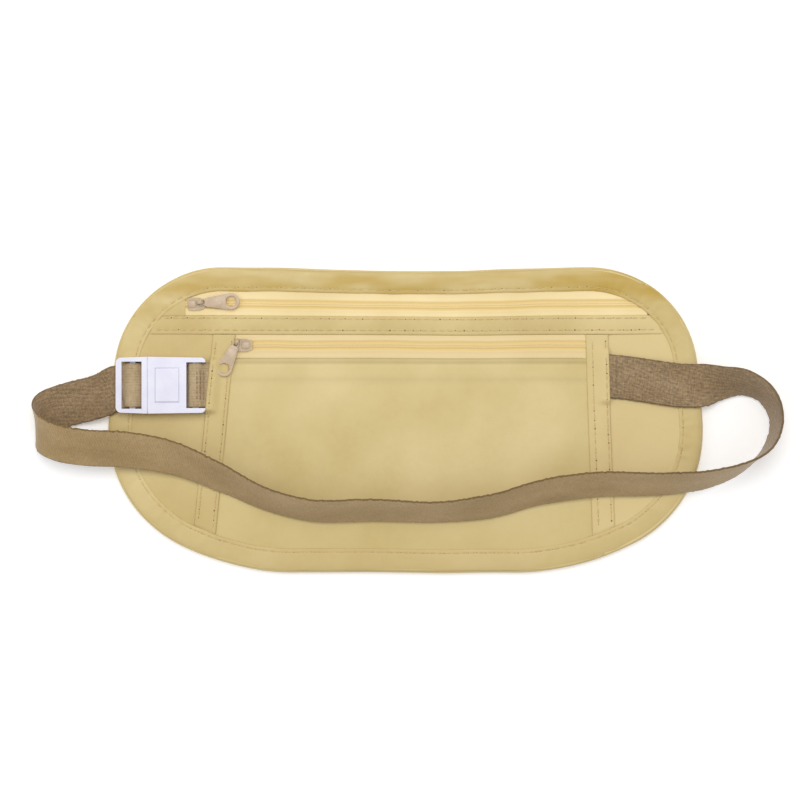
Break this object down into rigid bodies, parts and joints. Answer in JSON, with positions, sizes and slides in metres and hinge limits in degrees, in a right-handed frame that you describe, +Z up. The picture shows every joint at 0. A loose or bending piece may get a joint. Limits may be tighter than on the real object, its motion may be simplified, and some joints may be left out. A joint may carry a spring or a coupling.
{
  "type": "money belt",
  "caption": "Flat cloth waist pouch with zipped compartments, bound edges and a webbing strap closed by a press-release clip.",
  "frame": {"origin": "on the table under the middle of the belt's extents, which is the middle of the pouch", "axes": "+X along the pouch's long side away from the buckle, +Y towards the edge with the upper zipper, +Z up out of the table on which the belt lies"},
  "size_m": [0.3239, 0.133, 0.0226],
  "materials": {
    "pouch_cloth": "plain weave polyester, low sheen",
    "pocket_cloth": "smooth polyester with a soft sheen",
    "lining_cloth": "plain weave lining",
    "zip_tape": "fine knitted tape",
    "zip_coil": "nylon",
    "slider_enamel": "semi-gloss enamel",
    "webbing": "woven webbing, one smooth and one coarser face",
    "thread": "sewing thread",
    "buckle_plastic": "moulded, satin to gloss"
  },
  "bodies": {
    "pouch": {"edge_binding": "pouch_cloth", "back_panel": "pouch_cloth", "pocket_lining": "lining_cloth", "top_facing": "pouch_cloth", "side_panel_left": "pouch_cloth", "side_panel_right": "pouch_cloth", "zip_band": "pouch_cloth", "pocket_panel": "pocket_cloth", "pocket_strip_left": "pouch_cloth", "pocket_strip_right": "pouch_cloth", "upper_zip_tape_top": "zip_tape", "upper_zip_tape_bottom": "zip_tape", "upper_zip_coil_top": "zip_coil", "upper_zip_coil_bottom": "zip_coil", "upper_zip_start_stop_top": "zip_coil", "upper_zip_start_stop_bottom": "zip_coil", "upper_zip_end_stop": "zip_coil", "lower_zip_tape_top": "zip_tape", "lower_zip_tape_bottom": "zip_tape", "lower_zip_coil_top": "zip_coil", "lower_zip_coil_bottom": "zip_coil", "lower_zip_start_stop_top": "zip_coil", "lower_zip_start_stop_bottom": "zip_coil", "lower_zip_end_stop": "zip_coil", "waist_strap": "webbing", "stub_strap": "webbing", "strap_tack_right": "thread", "strap_tack_left": "thread", "buckle_socket": "buckle_plastic"},
    "upper_slider": {"upper_slider_body": "slider_enamel", "upper_slider_bail": "slider_enamel"},
    "upper_pull": {"upper_pull_tab": "slider_enamel"},
    "lower_slider": {"lower_slider_body": "slider_enamel", "lower_slider_bail": "slider_enamel"},
    "lower_pull": {"lower_pull_tab": "slider_enamel"},
    "plug": {"buckle_plug": "buckle_plastic", "strap_buckle_end": "webbing"},
    "release_pad": {"buckle_release_pad": "buckle_plastic"}
  },
  "joints": [
    {"name": "upper_zip_slide", "type": "slide", "parent": "pouch", "child": "upper_slider", "axis": [1, 0, 0], "range_m": [0, 0.18]},
    {"name": "upper_pull_flip", "type": "hinge", "parent": "upper_slider", "child": "upper_pull", "pos_m": [-0.0894, 0.0509, 0.00535], "axis": [0.0349, -0.9994, 0], "range_deg": [0, 160]},
    {"name": "lower_zip_slide", "type": "slide", "parent": "pouch", "child": "lower_slider", "axis": [1, 0, 0], "range_m": [0, 0.142]},
    {"name": "lower_pull_flip", "type": "hinge", "parent": "lower_slider", "child": "lower_pull", "pos_m": [-0.0734, 0.0338, 0.00535], "axis": [-0.8988, 0.4384, 0], "range_deg": [0, 120]},
    {"name": "buckle_plug_slide", "type": "slide", "parent": "pouch", "child": "plug", "axis": [-1, 0, 0], "range_m": [0, 0.018]},
    {"name": "release_press", "type": "slide", "parent": "pouch", "child": "release_pad", "axis": [0, 0, -1], "range_m": [0, 0.0007], "stiffness_N_per_m": 400}
  ]
}
